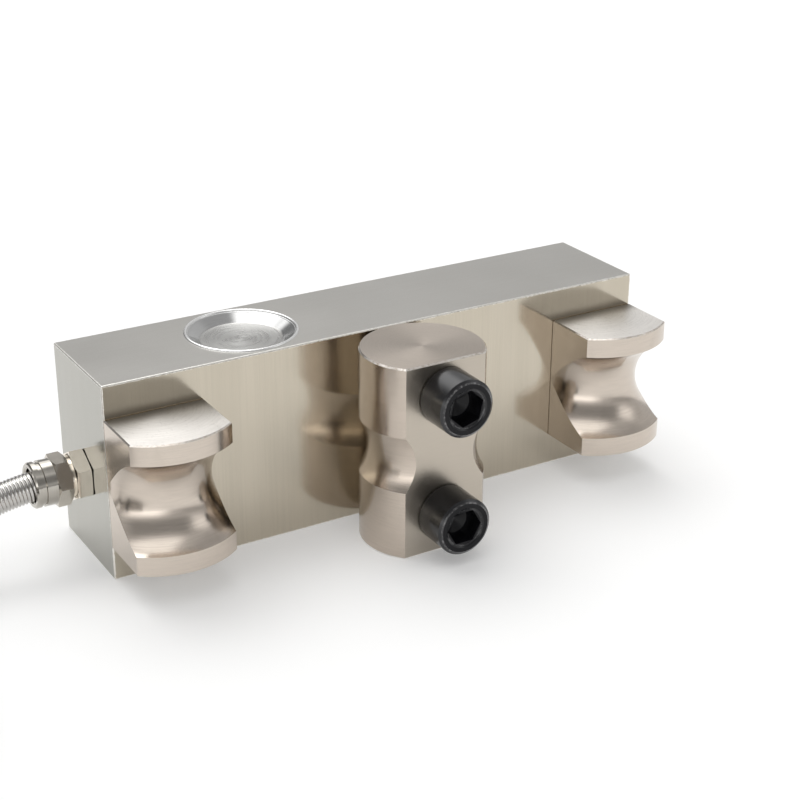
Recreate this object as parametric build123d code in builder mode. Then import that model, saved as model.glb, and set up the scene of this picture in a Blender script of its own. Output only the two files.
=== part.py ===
from build123d import *
import math
import os

os.makedirs("parts", exist_ok=True)

# Rope tension load cell. Millimetres. X runs along the bar, -Y is the front face that
# carries the two rope saddles and the clamp block, +Z is up.
# Origin: centre of the bar's bottom face.

# ---------------------------------------------------------------- driving dimensions
body_l = 186.0          # bar length, X
body_d = 38.0           # bar depth, Y
body_h = 62.0           # bar height, Z
body_edge = 0.5         # broken edge of the bar
mid_z = body_h / 2

saddle_w = 31.0         # saddle width along X
saddle_r = 24.4         # outer radius of the saddle, turned about Z at the front face
saddle_z0 = 10.4        # underside of the lower flange
saddle_z1 = 51.6        # top of the upper flange
saddle_groove_r = 15.5  # radius left at the bottom of the rope groove
saddle_groove_half = 14.2  # half height of the groove at the saddle's outer radius
lip_r = 0.9             # rounded groove lip
saddle_edge = 0.4

clamp_x = 0.6           # the clamp stands this far right of the bar's middle
block_r = 19.1          # clamp block, turned radius
block_axis = 19.0       # distance of the block's axis in front of the bar
block_face = 32.4       # distance of the block's flat in front of the bar
block_groove_depth = 2.4
block_groove_half = 8.9
block_edge = 0.5

clamp_z = (12.6, 51.0)  # heights of the two clamp screws
clamp_turn = (30.0, -13.0)  # how far each hexagon socket is turned
clamp_d = 12.0
clamp_head_d = 18.0
clamp_head_h = 12.0
clamp_af = 10.0
clamp_socket = 6.0
clamp_len = 70.0
clamp_clear_r = 6.6

csk_z = (19.0, 43.0)    # heights of the countersunk saddle screws
csk_d = 8.0
csk_head_d = 15.8
csk_len = 50.0
csk_af = 5.0
csk_socket = 3.1
csk_sink = 0.2          # the head sits this far below the back face

cup_x = -40.4           # axis of the gauge pocket and its seal cups
cup_r = 17.5
cup_seat = 1.0          # depth of the seat ledge in the top face
cup_seat_low = 1.55     # the same in the bottom face
pocket_r = 15.9
web_z0 = 31.0           # shear web between the two pockets
web_z1 = 37.0
web_hole_x = cup_x - 12.0
web_hole_r = 2.3

gland_z = 27.0          # axis of the cable gland
gland_hole = 10.0       # depth of its threaded hole
thread_r = 5.0
passage_r = 2.3
gland_af = 14.0
washer_t = 0.2
flange_t = 4.7          # hexagon of the gland body
neck_r = 6.0
neck_l = 3.7
nut_gap = 1.0           # gap between the two hexagons
nut_hex_t = 4.6
nose_l = 6.4
nose_r = 6.95
nose_bore_r = 5.1
nose_ring = 1.9         # front ring of the nose, before the turned groove
nose_groove_w = 1.1
nose_groove_d = 0.5

conduit_r = 4.5
cable_r = 2.0

coil_c = (-215.3, -48.8)   # centre of the put-away coil
coil_r = (35.2, 44.5, 53.8)  # mid-lines of its three rings of turns
coil_z = (5.3, 14.4, 23.3)   # mid-lines of its layers
tie_t = 0.8
end_deg = 110.0            # where the third layer ends

front = -body_d / 2
back = body_d / 2
left = -body_l / 2

# X stations of the gland, running outwards from the end face
x_flange = left - washer_t
x_flange_end = x_flange - flange_t
x_neck_end = x_flange_end - neck_l
x_nut = x_flange_end - nut_gap
x_nut_end = x_nut - nut_hex_t
x_nose = x_nut_end - nose_l

# route of the conduit from the gland down to the coil
route = [
    (-104.0, 0.0, 27.25),
    (-114.46, 0.0, 26.33),
    (-125.64, 0.2, 23.65),
    (-136.64, 1.16, 18.96),
    (-146.8, 2.77, 12.78),
    (-157.61, 4.29, 7.8),
    (-168.82, 5.0, 5.3),
    (-179.3, 5.0, 5.3),
]


def end_plane(x):
    """Plane across the bar's length, looking out of the left end."""
    return Plane(origin=(x, 0, gland_z), x_dir=(0, 1, 0), z_dir=(-1, 0, 0))


def radial_plane(x, y):
    """Upright plane through an upright axis, its local x pointing to the front."""
    return Plane(origin=(x, y, 0), x_dir=(0, -1, 0), z_dir=(-1, 0, 0))


def corner_radii(points):
    """Radius of each corner: as large as its two runs allow."""
    out = []
    for a, b, c in zip(points, points[1:], points[2:]):
        u = Vector(*b) - Vector(*a)
        v = Vector(*c) - Vector(*b)
        half = math.radians(u.get_angle(v)) / 2
        out.append(0.45 * min(u.length, v.length) / math.tan(half))
    return out


# ---------------------------------------------------------------- bar
with BuildPart() as spring_body:
    with BuildSketch(Plane.XY):
        Rectangle(body_l, body_d)
    extrude(amount=body_h)
    fillet(spring_body.edges(), body_edge)
    # gauge pockets from above and below, with a shear web left between them
    with BuildSketch(Plane.XY.offset(body_h)):
        with Locations((cup_x, 0)):
            Circle(cup_r)
    extrude(amount=-cup_seat, mode=Mode.SUBTRACT)
    with BuildSketch(Plane.XY.offset(body_h)):
        with Locations((cup_x, 0)):
            Circle(pocket_r)
    extrude(amount=-(body_h - web_z1), mode=Mode.SUBTRACT)
    with BuildSketch(Plane.XY):
        with Locations((cup_x, 0)):
            Circle(cup_r)
    extrude(amount=cup_seat_low, mode=Mode.SUBTRACT)
    with BuildSketch(Plane.XY):
        with Locations((cup_x, 0)):
            Circle(pocket_r)
    extrude(amount=web_z0, mode=Mode.SUBTRACT)
    with BuildSketch(Plane.XY.offset(web_z0 - 1)):
        with Locations((web_hole_x, 0)):
            Circle(web_hole_r)
    extrude(amount=web_z1 - web_z0 + 2, mode=Mode.SUBTRACT)
    # threaded gland hole in the left end, then a passage to the lower pocket
    with BuildSketch(end_plane(left)):
        Circle(thread_r)
    extrude(amount=-gland_hole, mode=Mode.SUBTRACT)
    with BuildSketch(end_plane(left)):
        Circle(passage_r)
    extrude(amount=-(cup_x - 6 - left), mode=Mode.SUBTRACT)
    # through threads for the two clamp screws
    with BuildSketch(Plane.XZ.offset(-front)):
        with Locations((clamp_x, clamp_z[0]), (clamp_x, clamp_z[1])):
            Circle(clamp_d / 2)
    extrude(amount=-body_d, mode=Mode.SUBTRACT)
    # countersunk holes from the back for the saddle screws
    for sx in (-1, 1):
        for z in csk_z:
            with Locations(Plane(origin=(sx * (body_l - saddle_w) / 2, back, z), x_dir=(1, 0, 0), z_dir=(0, 1, 0))):
                CounterSinkHole(
                    radius=csk_d / 2 + 0.5,
                    counter_sink_radius=csk_head_d / 2 + csk_sink,
                    depth=body_d,
                    counter_sink_angle=90,
                )
spring_body.part.label = "spring_body"
export_step(spring_body.part, "parts/spring_body.step")


# ---------------------------------------------------------------- rope saddles
def saddle_profile():
    """Half section of the grooved roller that the saddles are cut from."""
    Polyline(
        (0, saddle_z0),
        (saddle_r, saddle_z0),
        (saddle_r, mid_z - saddle_groove_half),
    )
    ThreePointArc(
        (saddle_r, mid_z - saddle_groove_half),
        (saddle_groove_r, mid_z),
        (saddle_r, mid_z + saddle_groove_half),
    )
    Polyline(
        (saddle_r, mid_z + saddle_groove_half),
        (saddle_r, saddle_z1),
        (0, saddle_z1),
        (0, saddle_z0),
    )


saddle_cx = (body_l - saddle_w) / 2

with BuildPart() as saddle_left:
    with BuildSketch(radial_plane(-saddle_cx, front)) as sk:
        with BuildLine():
            saddle_profile()
        make_face()
        fillet(
            [
                v
                for v in sk.vertices()
                if abs(v.Z - mid_z) < saddle_groove_half + 0.1 and abs(v.Y - front) > saddle_groove_r + 1
            ],
            lip_r,
        )
    revolve(axis=Axis((-saddle_cx, front, 0), (0, 0, 1)), revolution_arc=360)
    with Locations((-saddle_cx, front - 30, mid_z)):
        Box(saddle_w, 60, 100, mode=Mode.INTERSECT)
    chamfer(saddle_left.faces().sort_by(Axis.Z)[-1].edges(), saddle_edge)
    chamfer(saddle_left.faces().sort_by(Axis.Z)[0].edges(), saddle_edge)
    with BuildSketch(Plane.XZ.offset(-front)):
        with Locations((-saddle_cx, csk_z[0]), (-saddle_cx, csk_z[1])):
            Circle(csk_d / 2)
    extrude(amount=14, mode=Mode.SUBTRACT)
saddle_left.part.label = "saddle_left"
export_step(saddle_left.part, "parts/saddle_left.step")

with BuildPart() as saddle_right:
    with BuildSketch(radial_plane(saddle_cx, front)) as sk:
        with BuildLine():
            saddle_profile()
        make_face()
        fillet(
            [
                v
                for v in sk.vertices()
                if abs(v.Z - mid_z) < saddle_groove_half + 0.1 and abs(v.Y - front) > saddle_groove_r + 1
            ],
            lip_r,
        )
    revolve(axis=Axis((saddle_cx, front, 0), (0, 0, 1)), revolution_arc=360)
    with Locations((saddle_cx, front - 30, mid_z)):
        Box(saddle_w, 60, 100, mode=Mode.INTERSECT)
    chamfer(saddle_right.faces().sort_by(Axis.Z)[-1].edges(), saddle_edge)
    chamfer(saddle_right.faces().sort_by(Axis.Z)[0].edges(), saddle_edge)
    with BuildSketch(Plane.XZ.offset(-front)):
        with Locations((saddle_cx, csk_z[0]), (saddle_cx, csk_z[1])):
            Circle(csk_d / 2)
    extrude(amount=14, mode=Mode.SUBTRACT)
saddle_right.part.label = "saddle_right"
export_step(saddle_right.part, "parts/saddle_right.step")

# countersunk screws that pull the saddles on from the back face
with BuildPart() as saddle_screws:
    for sx in (-1, 1):
        for z in csk_z:
            top = back - csk_sink
            with BuildSketch(Plane(origin=(sx * saddle_cx, 0, z), x_dir=(1, 0, 0), z_dir=(0, 0, 1))):
                with BuildLine():
                    Polyline(
                        (0, top),
                        (csk_head_d / 2, top),
                        (csk_d / 2, top - (csk_head_d - csk_d) / 2),
                        (csk_d / 2, top - csk_len + 1),
                        (csk_d / 2 - 1, top - csk_len),
                        (0, top - csk_len),
                        (0, top),
                    )
                make_face()
            revolve(axis=Axis((sx * saddle_cx, 0, z), (0, 1, 0)), revolution_arc=360)
            with BuildSketch(Plane(origin=(sx * saddle_cx, top, z), x_dir=(1, 0, 0), z_dir=(0, 1, 0))):
                RegularPolygon(radius=csk_af / 2, side_count=6, major_radius=False, rotation=11 * sx + z)
            extrude(amount=-csk_socket, mode=Mode.SUBTRACT)
saddle_screws.part.label = "saddle_screws"
export_step(saddle_screws.part, "parts/saddle_screws.step")

# ---------------------------------------------------------------- clamp block
with BuildPart() as clamp_block:
    with BuildSketch(radial_plane(clamp_x, front - block_axis)) as sk:
        with BuildLine():
            Polyline(
                (0, 0),
                (block_r - block_edge, 0),
                (block_r, block_edge),
                (block_r, mid_z - block_groove_half),
            )
            ThreePointArc(
                (block_r, mid_z - block_groove_half),
                (block_r - block_groove_depth, mid_z),
                (block_r, mid_z + block_groove_half),
            )
            Polyline(
                (block_r, mid_z + block_groove_half),
                (block_r, body_h - block_edge),
                (block_r - block_edge, body_h),
                (0, body_h),
                (0, 0),
            )
        make_face()
    revolve(axis=Axis((clamp_x, front - block_axis, 0), (0, 0, 1)), revolution_arc=360)
    with Locations((clamp_x, front - block_face / 2, mid_z)):
        Box(60, block_face, 100, mode=Mode.INTERSECT)
    chamfer(clamp_block.faces().sort_by(Axis.Y)[0].edges().filter_by(Axis.X), block_edge)
    with BuildSketch(Plane.XZ.offset(-front)):
        with Locations((clamp_x, clamp_z[0]), (clamp_x, clamp_z[1])):
            Circle(clamp_clear_r)
    extrude(amount=block_face, mode=Mode.SUBTRACT)
clamp_block.part.label = "clamp_block"
export_step(clamp_block.part, "parts/clamp_block.step")

# socket head cap screws through the block into the bar's through threads
with BuildPart() as clamp_screws:
    seat = front - block_face
    face = seat - clamp_head_h
    for z, turn in zip(clamp_z, clamp_turn):
        with BuildSketch(Plane(origin=(clamp_x, 0, z), x_dir=(1, 0, 0), z_dir=(0, 0, 1))) as sk:
            with BuildLine():
                Polyline(
                    (0, face),
                    (clamp_head_d / 2 - 1.1, face),
                    (clamp_head_d / 2, face + 0.9),
                    (clamp_head_d / 2, seat - 0.4),
                    (clamp_head_d / 2 - 0.4, seat),
                    (clamp_d / 2, seat),
                    (clamp_d / 2, seat + clamp_len - 1.2),
                    (clamp_d / 2 - 1.2, seat + clamp_len),
                    (0, seat + clamp_len),
                    (0, face),
                )
            make_face()
        revolve(axis=Axis((clamp_x, 0, z), (0, 1, 0)), revolution_arc=360)
        # hexagon socket with a turned mouth and a drill-point bottom
        with BuildSketch(Plane(origin=(clamp_x, face, z), x_dir=(1, 0, 0), z_dir=(0, -1, 0))):
            RegularPolygon(radius=clamp_af / 2, side_count=6, major_radius=False, rotation=90 + turn)
        extrude(amount=-clamp_socket, mode=Mode.SUBTRACT)
        with BuildSketch(Plane(origin=(clamp_x, 0, z), x_dir=(1, 0, 0), z_dir=(0, 0, 1))) as sk:
            with BuildLine():
                Polyline((0, face - 1), (6.5 + 1.0, face - 1), (6.5, face), (5.6, face + 0.6), (0, face + 0.6), (0, face - 1))
            make_face()
        revolve(axis=Axis((clamp_x, 0, z), (0, 1, 0)), revolution_arc=360, mode=Mode.SUBTRACT)
        with BuildSketch(Plane(origin=(clamp_x, 0, z), x_dir=(1, 0, 0), z_dir=(0, 0, 1))) as sk:
            with BuildLine():
                Polyline(
                    (0, face + clamp_socket - 0.2),
                    (4.6, face + clamp_socket - 0.2),
                    (0, face + clamp_socket + 1.9),
                    (0, face + clamp_socket - 0.2),
                )
            make_face()
        revolve(axis=Axis((clamp_x, 0, z), (0, 1, 0)), revolution_arc=360, mode=Mode.SUBTRACT)
clamp_screws.part.label = "clamp_screws"
export_step(clamp_screws.part, "parts/clamp_screws.step")


# ---------------------------------------------------------------- seal cups
def cup_profile(flip):
    """Half section of the dished cup: beaded rim, sloped wall, flat floor."""

    def at(r, z):
        return (r, body_h + cup_seat_low - cup_seat - z) if flip else (r, z)

    top = body_h
    Polyline(
        at(0, top - 3.4),
        at(12.8, top - 3.4),
        at(15.4, top - cup_seat),
        at(cup_r, top - cup_seat),
        at(cup_r, top - 0.1),
    )
    ThreePointArc(at(cup_r, top - 0.1), at(16.95, top + 0.45), at(16.4, top - 0.1))
    ThreePointArc(at(16.4, top - 0.1), at(16.15, top - 0.12), at(15.95, top - 0.3))
    Polyline(
        at(15.95, top - 0.3),
        at(12.9, top - 2.35),
    )
    ThreePointArc(at(12.9, top - 2.35), at(12.55, top - 2.53), at(12.15, top - 2.6))
    Polyline(
        at(12.15, top - 2.6),
        at(0, top - 2.6),
        at(0, top - 3.4),
    )


with BuildPart() as seal_cup_top:
    with BuildSketch(radial_plane(cup_x, 0)) as sk:
        with BuildLine():
            cup_profile(False)
        make_face()
    revolve(axis=Axis((cup_x, 0, 0), (0, 0, 1)), revolution_arc=360)
seal_cup_top.part.label = "seal_cup_top"
export_step(seal_cup_top.part, "parts/seal_cup_top.step")

with BuildPart() as seal_cup_bottom:
    with BuildSketch(radial_plane(cup_x, 0)) as sk:
        with BuildLine():
            cup_profile(True)
        make_face()
    revolve(axis=Axis((cup_x, 0, 0), (0, 0, 1)), revolution_arc=360)
seal_cup_bottom.part.label = "seal_cup_bottom"
export_step(seal_cup_bottom.part, "parts/seal_cup_bottom.step")

# ---------------------------------------------------------------- strain gauges and bridge
gauge_t = 0.2
gauge_x = (cup_x - 4.2, cup_x + 4.2)
pad_t = 2.5

with BuildPart() as gauges_upper:
    with BuildSketch(Plane.XY.offset(web_z1)):
        with Locations((gauge_x[0], 0), (gauge_x[1], 0)):
            RectangleRounded(6.0, 9.0, 0.6)
    extrude(amount=gauge_t)
gauges_upper.part.label = "gauges_upper"
export_step(gauges_upper.part, "parts/gauges_upper.step")

with BuildPart() as gauges_lower:
    with BuildSketch(Plane.XY.offset(web_z0)):
        with Locations((gauge_x[0], 0), (gauge_x[1], 0)):
            RectangleRounded(6.0, 9.0, 0.6)
    extrude(amount=-gauge_t)
gauges_lower.part.label = "gauges_lower"
export_step(gauges_lower.part, "parts/gauges_lower.step")

with BuildPart() as gauge_seal_upper:
    with BuildSketch(Plane.XY.offset(web_z1)):
        with Locations((cup_x, 0)):
            RectangleRounded(18.0, 20.0, 3.0)
    extrude(amount=pad_t)
    with BuildSketch(Plane.XY.offset(web_z1)):
        with Locations((gauge_x[0], 0), (gauge_x[1], 0)):
            RectangleRounded(6.0, 9.0, 0.6)
    extrude(amount=gauge_t, mode=Mode.SUBTRACT)
gauge_seal_upper.part.label = "gauge_seal_upper"
export_step(gauge_seal_upper.part, "parts/gauge_seal_upper.step")

with BuildPart() as gauge_seal_lower:
    with BuildSketch(Plane.XY.offset(web_z0)):
        with Locations((cup_x, 0)):
            RectangleRounded(18.0, 20.0, 3.0)
    extrude(amount=-pad_t)
    with BuildSketch(Plane.XY.offset(web_z0)):
        with Locations((gauge_x[0], 0), (gauge_x[1], 0)):
            RectangleRounded(6.0, 9.0, 0.6)
    extrude(amount=-gauge_t, mode=Mode.SUBTRACT)
gauge_seal_lower.part.label = "gauge_seal_lower"
export_step(gauge_seal_lower.part, "parts/gauge_seal_lower.step")

board_t = 1.0
board_z = web_z1 + pad_t
with BuildPart() as bridge_board:
    with BuildSketch(Plane.XY.offset(board_z)):
        with Locations((cup_x, 0)):
            RectangleRounded(15.0, 12.0, 0.8)
    extrude(amount=board_t)
bridge_board.part.label = "bridge_board"
export_step(bridge_board.part, "parts/bridge_board.step")

with BuildPart() as trim_resistors:
    with BuildSketch(Plane.XY.offset(board_z + board_t)):
        with Locations((cup_x + 2.5, -3.2), (cup_x + 2.5, 0), (cup_x + 2.5, 3.2)):
            RectangleRounded(5.0, 2.0, 0.3)
    extrude(amount=1.4)
trim_resistors.part.label = "trim_resistors"
export_step(trim_resistors.part, "parts/trim_resistors.step")

# four cores from the end of the inner cable, up through the web, onto the board
core_r = 0.45
cable_end_x = cup_x - pocket_r + 0.8
with BuildPart() as inner_cores:
    for y in (-1.5, -0.5, 0.5, 1.5):
        with BuildLine() as path:
            core_line = FilletPolyline(
                (cable_end_x, y, gland_z),
                (web_hole_x, y, gland_z),
                (web_hole_x, y, board_z + board_t + core_r),
                (cup_x - 5.0, y, board_z + board_t + core_r),
                radius=1.4,
            )
        with BuildSketch(Plane(origin=core_line @ 0, z_dir=core_line % 0)):
            Circle(core_r)
        sweep(path=core_line)
inner_cores.part.label = "inner_cores"
export_step(inner_cores.part, "parts/inner_cores.step")

# ---------------------------------------------------------------- cable gland
with BuildPart() as gland_washer:
    with BuildSketch(end_plane(left)):
        Circle(6.2)
        Circle(thread_r, mode=Mode.SUBTRACT)
    extrude(amount=washer_t)
gland_washer.part.label = "gland_washer"
export_step(gland_washer.part, "parts/gland_washer.step")


def hex_cones(xa, xb, big=8.3, small=6.95, run=0.6, run_in=0.6):
    """Turned outline that bevels a hexagon's corners, as a closed half section."""
    Polyline(
        (xa, 0),
        (xa, small),
        (xa - run_in, big),
        (xb + run, big),
        (xb, small),
        (xb, 0),
        (xa, 0),
    )


gland_axis = Axis((0, 0, gland_z), (1, 0, 0))
gland_section = Plane(origin=(0, 0, gland_z), x_dir=(1, 0, 0), z_dir=(0, -1, 0))

with BuildPart() as gland_body:
    with BuildSketch(end_plane(x_flange)):
        RegularPolygon(radius=gland_af / 2, side_count=6, major_radius=False, rotation=90)
    extrude(amount=flange_t)
    with BuildSketch(gland_section):
        with BuildLine():
            hex_cones(x_flange, x_flange_end, run_in=0.15)
        make_face()
    revolve(axis=gland_axis, revolution_arc=360, mode=Mode.INTERSECT)
    with BuildSketch(end_plane(x_flange)):
        Circle(thread_r)
    extrude(amount=-(washer_t + gland_hole - 0.4))
    with BuildSketch(end_plane(x_flange_end)):
        Circle(neck_r)
    extrude(amount=neck_l)
    with BuildSketch(end_plane(x_neck_end)):
        Circle(passage_r)
    extrude(amount=-40, mode=Mode.SUBTRACT)
gland_body.part.label = "gland_body"
export_step(gland_body.part, "parts/gland_body.step")

with BuildPart() as gland_nut:
    with BuildSketch(end_plane(x_nut)):
        RegularPolygon(radius=gland_af / 2, side_count=6, major_radius=False, rotation=0)
    extrude(amount=nut_hex_t)
    with BuildSketch(gland_section):
        with BuildLine():
            hex_cones(x_nut, x_nut_end)
        make_face()
    revolve(axis=gland_axis, revolution_arc=360, mode=Mode.INTERSECT)
    with BuildSketch(gland_section):
        with BuildLine():
            Polyline(
                (x_nut_end, 0),
                (x_nut_end, nose_r),
                (x_nose + nose_ring + nose_groove_w + 0.15, nose_r),
                (x_nose + nose_ring + nose_groove_w, nose_r - nose_groove_d),
                (x_nose + nose_ring, nose_r - nose_groove_d),
                (x_nose + nose_ring - 0.15, nose_r),
                (x_nose + 0.45, nose_r),
                (x_nose, nose_r - 0.45),
                (x_nose, 0),
                (x_nut_end, 0),
            )
        make_face()
    revolve(axis=gland_axis, revolution_arc=360)
    with BuildSketch(end_plane(x_nut)):
        Circle(neck_r)
    extrude(amount=nut_hex_t - 0.1, mode=Mode.SUBTRACT)
    with BuildSketch(gland_section):
        with BuildLine():
            Polyline(
                (x_nut, 0),
                (x_nut, nose_bore_r),
                (x_nose + 0.5, nose_bore_r),
                (x_nose - 0.1, nose_bore_r + 0.6),
                (x_nose - 0.1, 0),
                (x_nut, 0),
            )
        make_face()
    revolve(axis=gland_axis, revolution_arc=360, mode=Mode.SUBTRACT)
gland_nut.part.label = "gland_nut"
export_step(gland_nut.part, "parts/gland_nut.step")

ring_t = 0.7
with BuildPart() as gland_ring:
    with BuildSketch(end_plane(x_neck_end)):
        Circle(neck_r - 0.1)
        Circle(passage_r, mode=Mode.SUBTRACT)
    extrude(amount=ring_t)
gland_ring.part.label = "gland_ring"
export_step(gland_ring.part, "parts/gland_ring.step")

# the plane where the conduit begins, square to its first run
run0 = (Vector(*route[1]) - Vector(*route[0])).normalized()
start_plane = Plane(origin=route[0], z_dir=run0)

x_seal = x_neck_end - ring_t
with BuildPart() as gland_seal:
    with BuildSketch(end_plane(x_seal)):
        Circle(neck_r - 0.1)
    extrude(amount=(x_seal - (x_nut_end + 0.1)))
    with BuildSketch(end_plane(x_seal)):
        Circle(nose_bore_r)
    extrude(amount=4)
    with BuildSketch(end_plane(x_seal + 1)):
        Circle(cable_r)
    extrude(amount=10, mode=Mode.SUBTRACT)
    split(bisect_by=start_plane, keep=Keep.BOTTOM)
gland_seal.part.label = "gland_seal"
export_step(gland_seal.part, "parts/gland_seal.step")

with BuildPart() as inner_cable:
    with BuildSketch(end_plane(cable_end_x)):
        Circle(cable_r)
    extrude(amount=cable_end_x - route[0][0] + 3)
    split(bisect_by=start_plane, keep=Keep.BOTTOM)
inner_cable.part.label = "inner_cable"
export_step(inner_cable.part, "parts/inner_cable.step")

# ---------------------------------------------------------------- conduit
radii = corner_radii(route)
print("conduit corner radii mm:", [round(r, 1) for r in radii])
with BuildPart() as conduit:
    with BuildLine() as conduit_path:
        conduit_line = FilletPolyline(*route, radius=radii)
    with BuildSketch(start_plane):
        Circle(conduit_r)
    sweep(path=conduit_line)
conduit.part.label = "conduit"
print(
    "conduit length mm:", round(conduit_line.length, 2),
    "volume / (section x length):",
    round(conduit.part.volume / (math.pi * conduit_r**2 * conduit_line.length), 5),
)
export_step(conduit.part, "parts/conduit.step")

# the put-away coil as one closed shape: two full layers, part of a third, and the
# straight lead-in where the free stretch arrives
coil_in = coil_r[0] - conduit_r
coil_out = coil_r[2] + conduit_r
coil_top = coil_z[1] + conduit_r
coil_plane = Plane(origin=(coil_c[0], coil_c[1], 0), x_dir=(0, -1, 0), z_dir=(-1, 0, 0))
coil_axis = Axis((coil_c[0], coil_c[1], 0), (0, 0, 1))


def coil_point(deg, r, z):
    a = math.radians(deg)
    return Vector(coil_c[0] + r * math.cos(a), coil_c[1] + r * math.sin(a), z)


with BuildPart() as conduit_coil:
    with BuildSketch(coil_plane):
        with Locations(((coil_in + coil_out) / 2, (tie_t + coil_top) / 2)):
            RectangleRounded(coil_out - coil_in, coil_top - tie_t, 4.4)
    revolve(axis=coil_axis, revolution_arc=360)
    with BuildLine() as third:
        third_line = CenterArc((coil_c[0], coil_c[1], coil_z[2]), coil_r[2], 262, 360 + end_deg - 262)
    with BuildSketch(Plane(origin=third_line @ 0, z_dir=third_line % 0)):
        Circle(conduit_r)
    sweep(path=third_line)
    with BuildSketch(Plane(origin=(coil_c[0], route[-1][1], coil_z[0]), x_dir=(0, 1, 0), z_dir=(1, 0, 0))):
        Circle(conduit_r)
    extrude(amount=route[-1][0] - coil_c[0])
conduit_coil.part.label = "conduit_coil"
export_step(conduit_coil.part, "parts/conduit_coil.step")


# ---------------------------------------------------------------- what is on the far end
end_dir = Vector(-math.sin(math.radians(end_deg)), math.cos(math.radians(end_deg)), 0)
end_pt = coil_point(end_deg, coil_r[2], coil_z[2])
end_face = Plane(origin=end_pt, z_dir=end_dir)
bush_l = 8.0
bush_bore_r = 2.05

with BuildPart() as conduit_end_bush:
    with BuildSketch(Plane(origin=end_pt, x_dir=end_dir, z_dir=(0, 0, 1))) as sk:
        with BuildLine():
            Polyline(
                (0, bush_bore_r),
                (0, 4.2),
                (0.2, 4.4),
                (3.0, 4.4),
                (3.4, 4.0),
                (bush_l - 0.6, 3.3),
                (bush_l, 2.9),
                (bush_l, bush_bore_r),
                (0, bush_bore_r),
            )
        make_face()
    revolve(axis=Axis(end_pt, end_dir), revolution_arc=360)
conduit_end_bush.part.label = "conduit_end_bush"
export_step(conduit_end_bush.part, "parts/conduit_end_bush.step")

# the cable leaves the bush, bends round the coil and comes down to lie on its turns
tail_z = coil_top + cable_r + 0.1
tail_r = 55.0
tail_route = [
    tuple(end_pt + end_dir * 2.0),
    tuple(end_pt + end_dir * 11.0),
    tuple(coil_point(end_deg + 20.0, tail_r, 22.8)),
    tuple(coil_point(end_deg + 28.8, tail_r, 22.1)),
    tuple(coil_point(end_deg + 37.8, tail_r, 21.4)),
    tuple(coil_point(end_deg + 46.8, tail_r, tail_z)),
    tuple(coil_point(end_deg + 55.0, tail_r, tail_z)),
]
tail_radii = corner_radii(tail_route)
print("tail corner radii mm:", [round(r, 1) for r in tail_radii])
with BuildPart() as cable_tail:
    with BuildLine() as tail_path:
        tail_line = FilletPolyline(*tail_route, radius=tail_radii)
    with BuildSketch(Plane(origin=tail_line @ 0, z_dir=tail_line % 0)):
        Circle(cable_r)
    sweep(path=tail_line)
cable_tail.part.label = "cable_tail"
export_step(cable_tail.part, "parts/cable_tail.step")

tail_end = tail_line @ 1
tail_dir = tail_line % 1
tail_side = tail_dir.cross(Vector(0, 0, 1)).normalized()
with BuildPart() as tail_cores:
    for side, up, fan, rise, run in (
        (-0.85, 0.85, -2.6, 0.5, 15.0),
        (0.85, 0.85, 2.2, 0.9, 17.0),
        (-0.85, -0.85, -1.0, -0.2, 18.0),
        (0.85, -0.85, 0.7, -0.2, 14.5),
    ):
        a = tail_end + tail_side * side + Vector(0, 0, up)
        b = a + tail_dir * 5
        c = a + tail_dir * run + tail_side * (fan * 1.5) + Vector(0, 0, rise * 0.6)
        pts = [tuple(a), tuple(b), tuple(c)]
        with BuildLine() as path:
            tip_line = FilletPolyline(*pts, radius=corner_radii(pts)[0])
        with BuildSketch(Plane(origin=tip_line @ 0, z_dir=tip_line % 0)):
            Circle(0.6)
        sweep(path=tip_line)
tail_cores.part.label = "tail_cores"
export_step(tail_cores.part, "parts/tail_cores.step")


# ---------------------------------------------------------------- ties round the coil
def tie_plane(deg):
    a = math.radians(deg)
    return Plane(
        origin=(coil_c[0], coil_c[1], 0),
        x_dir=(math.cos(a), math.sin(a), 0),
        z_dir=(math.sin(a), -math.cos(a), 0),
    )


def tie_band(deg):
    """Box that keeps a strap of even width out of a turned loop."""
    return Location(tie_plane(deg)) * Location(((coil_in + coil_out) / 2, 15, 0))


# each strap is turned about the coil's axis, so it bears on the turns all along
tie_w = 8.0
tie_arc = 17.0
third_top = coil_z[2] + conduit_r
with BuildPart() as coil_tie_high:
    with BuildSketch(tie_plane(20 - tie_arc / 2)) as sk:
        with BuildLine():
            Polyline(
                (coil_in - tie_t, 0),
                (coil_out + tie_t + 0.1, 0),
                (coil_out + tie_t + 0.1, third_top + tie_t + 0.1),
                (coil_r[2] - 5.4, third_top + tie_t + 0.1),
                (coil_in - tie_t, coil_top + tie_t - 0.4),
                (coil_in - tie_t, 0),
            )
        make_face()
        fillet(sk.vertices(), 4.0)
        offset(amount=-tie_t, mode=Mode.SUBTRACT)
    revolve(axis=coil_axis, revolution_arc=tie_arc)
    with Locations(tie_band(20)):
        Box(60, 60, tie_w, mode=Mode.INTERSECT)
coil_tie_high.part.label = "coil_tie_high"
export_step(coil_tie_high.part, "parts/coil_tie_high.step")

with BuildPart() as coil_tie_low:
    with BuildSketch(tie_plane(200 - tie_arc / 2)) as sk:
        with Locations(((coil_in + coil_out) / 2, (coil_top + tie_t) / 2)):
            RectangleRounded(coil_out - coil_in + 2 * tie_t, coil_top + tie_t, 4.4 + tie_t)
        offset(amount=-tie_t, mode=Mode.SUBTRACT)
    revolve(axis=coil_axis, revolution_arc=tie_arc)
    with Locations(tie_band(200)):
        Box(60, 60, tie_w, mode=Mode.INTERSECT)
coil_tie_low.part.label = "coil_tie_low"
export_step(coil_tie_low.part, "parts/coil_tie_low.step")

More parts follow.
